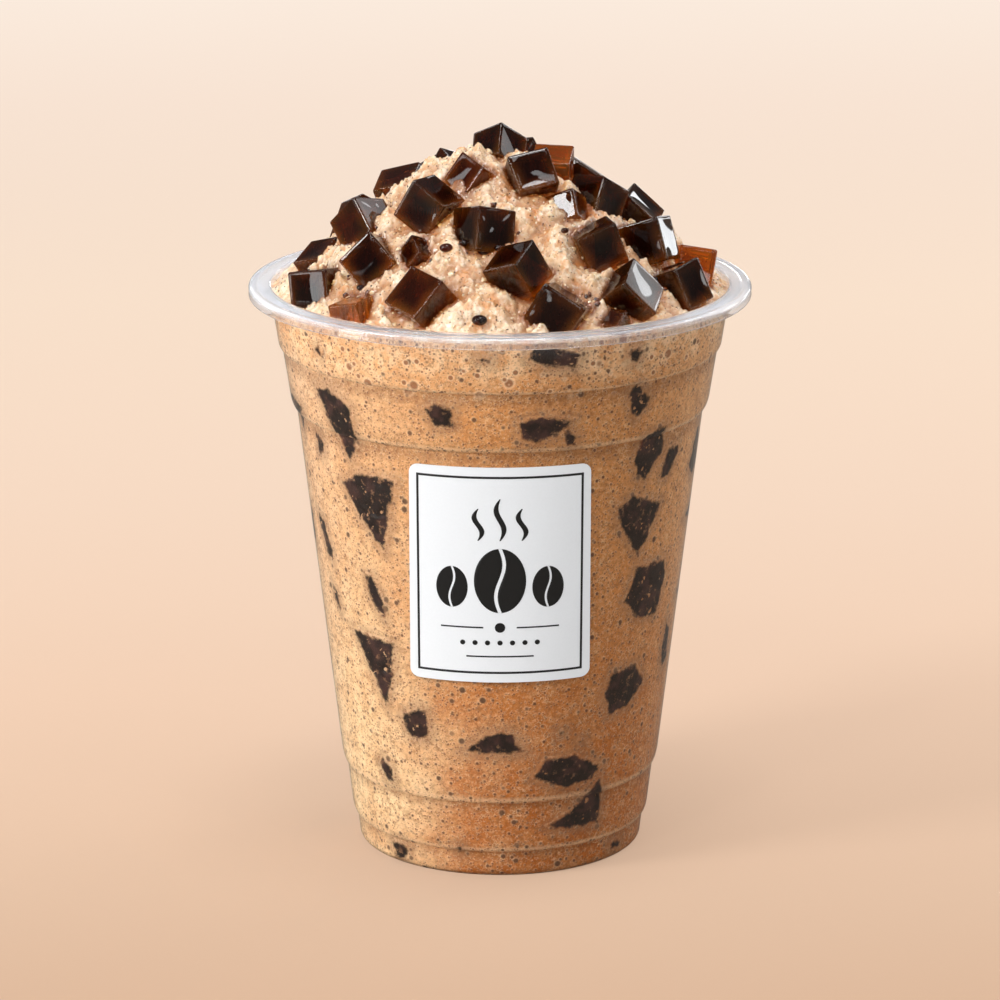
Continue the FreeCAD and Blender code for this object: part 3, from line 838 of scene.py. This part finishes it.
def sunk_lump(number, bearing, height, corners):
    """Points and faces of one lump of jelly, and how far each point lies out in the foam."""
    low, high = corners.min(0) - 0.3, corners.max(0) + 0.3
    columns, rows = np.maximum(6, ((high - low) / SUNK_MESH).astype(int))
    column, row = np.meshgrid(np.linspace(low[0], high[0], columns),
                              np.linspace(low[1], high[1], rows))
    flat = np.stack([column.ravel(), row.ravel()], 1)
    layer = np.insert(flat, 2, 3.0 * number, 1)
    sway = np.stack([rough(layer, 1.7, 5, 2),
                     rough(np.insert(flat, 2, 3.0 * number + 50, 1), 1.7, 6, 2)], 1)
    depth = inside_depth(corners, flat + sway * 0.45)
    rise = np.clip(depth * 0.5, -0.6, 0.16) + rough(layer, 1.1, 7, 3) * 0.22 - 0.02
    front = on_wall(bearing, flat[:, 0], np.clip(flat[:, 1] + height, 0.9, 110.5),
                    -np.minimum(rise, 0.17))
    back = on_wall(bearing, flat[:, 0] * 0.75, np.clip(flat[:, 1] * 0.75 + height, 1.6, 110.0), 3.2)
    edge = border(rows, columns)
    fringe = np.concatenate([np.clip(1.0 - depth / 1.7, 0.0, 1.0), np.ones(len(edge) + 1)])
    return (*closed(front, grid_faces(rows, columns), edge, back[edge], back[len(flat) // 2]),
            fringe)


def make_sunk(shapes):
    """Lumps of jelly against the inside of the wall, their edges lost in the foam."""
    lumps = [sunk_lump(number, *shape) for number, shape in enumerate(shapes)]
    points, faces = joined([lump[:2] for lump in lumps])
    piece = new_piece("sunk_jelly", points, faces, sunk_jelly())
    point_attribute(piece, "fringe", np.concatenate([fringe for _, _, fringe in lumps]))
    tidy_mesh(piece, doubles=0)
    return piece


COFFEE_TURNS = 420


def near_jelly(points, shapes):
    """1 over the sunk jelly, falling to 0 a little way outside it."""
    near = np.zeros(len(points))
    bearing = np.arctan2(points[:, 0], -points[:, 1])
    for around, height, corners in shapes:
        reach = np.abs(corners).max(0) + 3.0
        along = (bearing - around + math.pi) % (2.0 * math.pi) - math.pi
        along *= np.linalg.norm(points[:, :2], axis=1)
        flat = np.stack([along, points[:, 2] - height], 1)
        beside = (np.abs(flat) < reach).all(1)
        depth = inside_depth(corners, flat[beside])
        near[beside] = np.maximum(near[beside], np.clip(1.0 + depth / 1.8, 0.0, 1.0))
    return near


def make_coffee(shapes):
    """The coffee in the cup, reaching just into the wall."""
    heights = wall_heights(1.3, BRIM - 0.3, 0.8)[:, None]
    angle = np.linspace(-math.pi, math.pi, COFFEE_TURNS, endpoint=False)
    wall = turned(wall_out(heights) - SKIN, angle, heights).reshape(-1, 3)
    wobble = rough(wall, 6.0, 9, 3) * 0.06
    wall[:, :2] *= (1.0 + wobble / np.linalg.norm(wall[:, :2], axis=1))[:, None]
    low = ((0.0, 1.85), (23.6, 1.85), (24.9, 0.4), (25.5, 0.14), (26.4, 0.16),
           (FOOT_OUT - 0.85, 0.34), (FOOT_OUT - 0.42, 0.72))
    top = ((MOUTH - 2.0, BRIM - 1.5), (0.0, BRIM - 1.5))
    points = np.concatenate([turned(out, angle, up) for out, up in low] + [wall]
                            + [turned(out, angle, up) for out, up in top])
    rows = len(points) // COFFEE_TURNS
    coffee = new_piece("blended_coffee", points, grid_faces(rows, COFFEE_TURNS, ring=True),
                       blended_coffee())
    point_attribute(coffee, "jelly_near", near_jelly(points, shapes))
    tidy_mesh(coffee)
    return coffee


# ---- small things strewn on the heap ----

# For each kind of bit: its name, its shape (seed, flatness, divisions), its finish, and how it
# is strewn, with the number to a square metre and the heap's attribute for where it lies.
DRY_BITS = (
    ("ice_grains", (3, 0.7, 1), ("wet_ice", (244, 222, 192), (228, 190, 148), 0.10, 0.7, 0.3),
     dict(Density=260000.0, Smallest=0.3, Largest=0.8, Sink=-0.10 * MM, Seed=4, Where="open")),
    ("ice_lumps", (5, 0.75, 2), ("wet_lumps", (240, 212, 178), (220, 180, 136), 0.12, 0.7, 0.3),
     dict(Density=90000.0, Smallest=0.8, Largest=1.7, Sink=-0.42 * MM, Seed=14, Where="open")),
    ("coffee_flecks", (6, 0.45, 1), ("ground_coffee", (46, 24, 14), (84, 46, 24), 0.5),
     dict(Density=240000.0, Smallest=0.14, Largest=0.40, Sink=0.04 * MM, Seed=9, Where="open")),
)
SYRUP_BEADS = (
    "syrup_beads", (8, 0.6, 2), ("coffee_syrup", (58, 24, 8), (110, 52, 16), 0.03, 1.0),
    dict(Density=110000.0, Smallest=0.5, Largest=1.5, Sink=-0.05 * MM, Seed=21, Where="damp"))
GIVEN = {"Surface": "Geometry", "Shape": "Object", "Density": "Float", "Smallest": "Float",
         "Largest": "Float", "Sink": "Float", "Seed": "Int", "Where": "String",
         "Finish": "Material"}


def scatter_tree():
    """Geometry Nodes: small shapes strewn over a surface, denser where an attribute says."""
    tree = bpy.data.node_groups.new("strewn_bits", "GeometryNodeTree")
    for name, kind in GIVEN.items():
        tree.interface.new_socket(name, in_out="INPUT", socket_type="NodeSocket" + kind)
    tree.interface.new_socket("Bits", in_out="OUTPUT", socket_type="NodeSocketGeometry")
    board = Board(tree)
    entry = board.add("NodeGroupInput").socket.node
    given = {name: Wire(board, entry.outputs[name]) for name in GIVEN}
    where = board.add("GeometryNodeInputNamedAttribute", {"Name": given["Where"]},
                      data_type="FLOAT")
    points = board.add("GeometryNodeDistributePointsOnFaces", {
        "Mesh": given["Surface"], "Density": given["Density"] * where, "Seed": given["Seed"]})
    turn = board.add("FunctionNodeRandomValue", {1: (6.28, 6.28, 6.28), "Seed": given["Seed"]},
                     data_type="FLOAT_VECTOR")
    size = board.add("FunctionNodeRandomValue", {
        2: given["Smallest"], 3: given["Largest"], "Seed": given["Seed"]}, out=1,
        data_type="FLOAT")
    sunk = board.add("ShaderNodeVectorMath", {
        0: Wire(board, points.socket.node.outputs["Normal"]), "Scale": given["Sink"]},
        operation="SCALE")
    moved = board.add("GeometryNodeSetPosition", {"Geometry": points, "Offset": sunk})
    shape = board.add("GeometryNodeObjectInfo", {"Object": given["Shape"]}, out="Geometry")
    bits = board.add("GeometryNodeInstanceOnPoints", {
        "Points": moved, "Instance": shape, "Rotation": turn, "Scale": size})
    real = board.add("GeometryNodeRealizeInstances", {"Geometry": bits})
    dressed = board.add("GeometryNodeSetMaterial", {"Geometry": real, "Material": given["Finish"]})
    board.add("NodeGroupOutput", {"Bits": dressed})
    return tree


def bit_shape(name, seed, flatness, divisions):
    """A tiny lump a millimetre across, squashed and knocked about."""
    pick = random.Random(seed)
    work = bmesh.new()
    bmesh.ops.create_icosphere(work, subdivisions=divisions, radius=0.5 * MM)
    for vert in work.verts:
        vert.co *= 1.0 + pick.uniform(-0.22, 0.22)
        vert.co.z *= flatness
    mesh = bpy.data.meshes.new(name)
    work.to_mesh(mesh)
    work.free()
    if divisions > 1:
        mesh.shade_smooth()
    return linked(name, mesh)


def strewn(tree, heap, name, lump, paint, wanted):
    """One piece that holds every bit of a kind."""
    shape = bit_shape(name + "_shape", *lump)
    carrier = linked(name + "_carrier", heap.data.copy())
    modifier = carrier.modifiers.new("strewn", "NODES")
    modifier.node_group = tree
    wanted = {**wanted, "Shape": shape, "Finish": grain_finish(*paint)}
    for item in tree.interface.items_tree:
        if item.in_out == "INPUT" and item.name in wanted:
            modifier[item.identifier] = wanted[item.name]
    graph = bpy.context.evaluated_depsgraph_get()
    mesh = bpy.data.meshes.new_from_object(carrier.evaluated_get(graph), depsgraph=graph)
    mesh.name = name
    piece = linked(name, mesh)
    bpy.data.objects.remove(carrier)
    bpy.data.objects.remove(shape)
    return piece


# Single drops of syrup on the heap: x, y and radius in millimetres.
DROPS = ((-10.2, -27.5, 1.15), (-3.6, -41.0, 1.35), (-5.7, -25.8, 0.9), (-3.0, -26.7, 1.2),
         (-0.4, -27.5, 0.8), (-27.5, -25.0, 0.8), (12.5, -22.0, 0.7), (30.5, -21.0, 0.9),
         (-17.0, 12.0, 1.1), (9.0, 24.0, 1.2), (24.0, 16.0, 0.9), (-30.0, 14.0, 0.9),
         (2.0, 37.0, 1.1))


def make_drops(heap):
    """Glossy drops of coffee syrup that rest on the heap."""
    parts = []
    for x, y, radius in DROPS:
        level = heap_level(np.array([[x, y]]))[0]
        spot = np.array(heap.closest_point_on_mesh(Vector((x, y, level)) * MM)[1]) / MM
        work = bmesh.new()
        bmesh.ops.create_icosphere(work, subdivisions=3, radius=radius)
        body = np.array([vert.co for vert in work.verts]) * (1.1, 1.0, 0.75)
        wave = rough(body, 1.5, radius, 1)[:, None] * 0.08
        parts.append((body + wave + spot + (0.0, 0.0, radius * 0.28),
                      [[vert.index for vert in face.verts] for face in work.faces]))
        work.free()
    syrup = coffee_jelly("syrup", (0.84, 0.68, 0.20), 4000.0, (62, 26, 14), (216, 122, 50))
    drops = new_piece("syrup_drops", *joined(parts), syrup)
    return drops


# ---- label ----

LABEL_GAP = 0.12
LABEL_PAPER = 0.2
# Low, high, left and right of the frame's bars and of the rules.
BARS = ((43.75, 44.2, -16.35, 16.35), (83.8, 84.25, -16.35, 16.35), (44.2, 83.8, -16.35, -15.9),
        (44.2, 83.8, 15.9, 16.35), (53.2, 53.5, -11.5, -3.2), (53.2, 53.5, 3.2, 11.5),
        (47.2, 47.5, -6.5, 6.5))
# Middle and half sizes of the coffee beans and the dots.
BEANS = (((0.0, 63.0), (5.0, 6.6)), ((-9.3, 61.6), (3.1, 4.2)), ((9.3, 61.6), (3.1, 4.2)))
DOTS = (((0.0, 53.35), (1.0, 1.0)), *(((2.4 * place, 50.2), (0.5, 0.5)) for place in range(-3, 4)))


def label_point(across, up, lift):
    """A point of the label's plane laid on the wall's cone, lifted off the paper."""
    radius = FOOT_RADIUS + STEPS[0][2] + STEPS[1][2] + WALL_SLOPE * up + (LABEL_GAP + LABEL_PAPER)
    return turned(radius + lift, across / radius, up).reshape(-1, 3)


def ink_patch(rows, left, right, columns):
    """A closed thin slab of ink between two edges given at each height."""
    across = left[:, None] + (right - left)[:, None] * np.linspace(0.0, 1.0, columns)
    top = label_point(across, rows[:, None], 0.03)
    foot = label_point(across, rows[:, None], -0.02)
    faces = grid_faces(len(rows), columns)
    edge = border(len(rows), columns)
    after = np.roll(edge, -1)
    side = np.stack([edge, edge + len(top), after + len(top), after], 1)
    return np.concatenate([top, foot]), np.concatenate([faces, faces[:, ::-1] + len(top), side])


def ink_bar(low, high, left, right):
    """A straight bar."""
    rows = np.linspace(low, high, max(2, int((high - low) / 1.5)))
    return ink_patch(rows, np.full(len(rows), left), np.full(len(rows), right),
                     max(2, int(right - left)))


def ink_oval(middle, half, gap=0.0):
    """An oval, or with a gap its two halves, parted along an S-curve."""
    rows = np.sin(np.linspace(-math.pi / 2, math.pi / 2, 25))
    span = np.sqrt(np.maximum(0.0, 1.0 - rows ** 2)) * half[0]
    bend = 0.16 * np.sin(rows * math.pi) * half[0]
    parted = [(-span, np.clip(bend - gap * half[0], -span, span)),
              (np.clip(bend + gap * half[0], -span, span), span)]
    return [ink_patch(middle[1] + rows * half[1], middle[0] + left, middle[0] + right, 9)
            for left, right in (parted if gap else [(-span, span)])]


def ink_wisp(middle, foot, height, width, sway):
    """A curl of steam."""
    share = np.linspace(0.0, 1.0, 22)
    line = middle + sway * np.sin(share * 2.0 * math.pi)
    half = width / 2.0 * np.sin(np.clip(share * 0.94 + 0.03, 0.0, 1.0) * math.pi) ** 0.7
    return ink_patch(foot + share * height, line - half, line + half, 3)


def make_print():
    """A thin frame and a plain drawing of coffee beans, steam and dots."""
    shapes = [ink_bar(*bar) for bar in BARS]
    shapes += [ink_wisp(across, 71.2, tall, 1.15, 0.75)
               for across, tall in ((-4.2, 6.5), (0.0, 8.5), (4.2, 6.5))]
    for bean in BEANS:
        shapes += ink_oval(*bean, gap=0.07)
    for dot in DOTS:
        shapes += ink_oval(*dot)
    ink = tidy_mesh(new_piece("label_print", *joined(shapes), label_ink()), 0.000002)
    return ink


# ---- studio ----

FLOOR_TONES = [
    (0.0, (211, 176, 148)), (0.05, (219, 186, 159)), (0.15, (233, 200, 174)),
    (0.28, (239, 211, 188)), (0.46, (247, 223, 201)), (0.72, (252, 231, 214)),
    (0.92, (255, 239, 225)),
]
# Each lamp's name, place, the height on the axis that it points at, size and power.
LAMPS = (
    ("key", (-0.72, -0.42, 0.66), 0.08, (0.24, 0.30), 5.3),
    ("top", (0.05, -0.12, 1.0), 0.1, (0.30, 0.20), 2.7),
    ("edge", (0.75, 0.55, 0.55), 0.1, (0.4, 0.7), 2.1),
    ("low_left", (-0.85, -0.35, 0.12), 0.02, (0.25, 0.25), 1.25),
    ("glint_left", (-0.30, -0.65, 0.85), 0.12, (0.08, 0.14), 0.8),
    ("glint_right", (0.42, -0.52, 0.72), 0.12, (0.08, 0.12), 0.35),
)


def light_path(board, kind):
    """What kind of ray this is: 1 or 0, or how often it has bounced."""
    return board.add("ShaderNodeLightPath", out=kind)


def seen_directly(board):
    """1 for what the camera or clear plastic shows, 0 for light on its way to the drink."""
    seen = light_path(board, "Is Camera Ray").maths(
        "MAXIMUM", light_path(board, "Is Transmission Ray"))
    return seen * light_path(board, "Diffuse Depth").maths("LESS_THAN", 0.5)


def seen_mirrored(board):
    """1 for what shines in a gloss, 0 for what shows through the drink."""
    return light_path(board, "Is Glossy Ray").maths(
        "GREATER_THAN", light_path(board, "Is Transmission Ray"))


def make_floor():
    """A wide floor, paler with distance. It throws back only neutral light."""
    board = finish("floor_paint")
    depth = board.axis("Y")
    tone = board.add("ShaderNodeValToRGB", {"Fac": (depth + 0.1) * 0.8}, stops=FLOOR_TONES)
    seen = seen_directly(board)
    thrown = board.blend(seen_mirrored(board), (0.48, 0.47, 0.46, 1.0), (0.22, 0.19, 0.16, 1.0))
    paint = board.skin(board.blend(seen, thrown, tone), 0.8, {"Specular IOR Level": 0.1})
    glow = board.add("ShaderNodeEmission", {"Color": tone, "Strength": 0.97})
    painted = board.surface(board.mixed(
        seen * (depth.step(0.3, 1.0) * 0.35 + 0.62), paint, glow))
    floor = new_piece("studio_floor", [
        (-3000, -1500, 0), (3000, -1500, 0), (3000, 4500, 0), (-3000, 4500, 0)],
        [[0, 1, 2, 3]], painted, smooth=False)


def make_world():
    """Even light on the drink, a peach backdrop behind it, and bright panels to mirror."""
    world = bpy.data.worlds.new("studio_world")
    bpy.context.scene.world = world
    world.use_nodes = True
    board = Board(world.node_tree)
    way = board.add("ShaderNodeTexCoord", out="Generated")
    up = board.add("ShaderNodeSeparateXYZ", {"Vector": way}, out="Z")
    panels = board.clouds(5.6, 1.0, place=way).step(0.62, 0.64)
    ceiling = board.blend(up.step(0.0, 0.35), (0.24, 0.21, 0.18, 1.0), (0.10, 0.10, 0.10, 1.0))
    plain, mirrored, backdrop = (
        board.add("ShaderNodeBackground", {"Color": colour, "Strength": strength})
        for colour, strength in (
            ((0.97, 0.98, 1.0, 1.0), 0.70),
            (board.blend(panels, ceiling, (5.0, 5.1, 5.2, 1.0)), 1.0),
            (board.blend(up.step(-0.25, 0.10), (252, 231, 214), (255, 238, 226)), 1.0)))
    unseen = board.mixed(seen_mirrored(board), plain, mirrored)
    board.add("ShaderNodeOutputWorld", {
        "Surface": board.mixed(seen_directly(board), unseen, backdrop)})


def make_lamp(name, place, target, size, power):
    """A square lamp that points at the axis."""
    lamp = bpy.data.lights.new(name, "AREA")
    lamp.shape = "RECTANGLE"
    lamp.size, lamp.size_y = size
    lamp.energy = power
    holder = linked(name, lamp)
    holder.location = place
    way = Vector((0.0, 0.0, target)) - Vector(place)
    holder.rotation_euler = way.to_track_quat("-Z", "Y").to_euler()


def make_camera():
    """A long lens from the front, a little above the rim."""
    camera = bpy.data.cameras.new("camera")
    camera.lens = 170.0
    camera.sensor_width = 36.0
    holder = linked("camera", camera)
    holder.location = (0.0, -0.9006, 0.3167)
    holder.rotation_euler = (math.radians(90.0 - 15.39), 0.0, 0.0)
    bpy.context.scene.camera = holder


# ---- the whole drink ----

def dress():
    """Every piece of the drink, riding the one body."""
    blocks = {node: Block(node) for node in sorted(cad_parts)
              if node.startswith("jelly_cube")}
    shapes = sunk_shapes(sunk_places())
    pieces = [make_cup(), make_sunk(shapes)]
    coffee = make_coffee(shapes)
    heap = make_heap(blocks)
    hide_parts("frappe")
    pieces += [coffee, heap] + make_cubes(blocks)
    tree = scatter_tree()
    pieces += [strewn(tree, heap, *bits) for bits in DRY_BITS]
    pieces += [make_drops(heap), strewn(tree, heap, *SYRUP_BEADS)]
    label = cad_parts["label"]
    label.data.materials.clear()
    label.data.materials.append(label_paper())
    pieces.append(make_print())
    for piece in pieces:
        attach(piece, "root")


make_camera()
make_floor()
make_world()
for lamp in LAMPS:
    make_lamp(*lamp)
dress()
bpy.context.scene.view_settings.view_transform = "Standard"
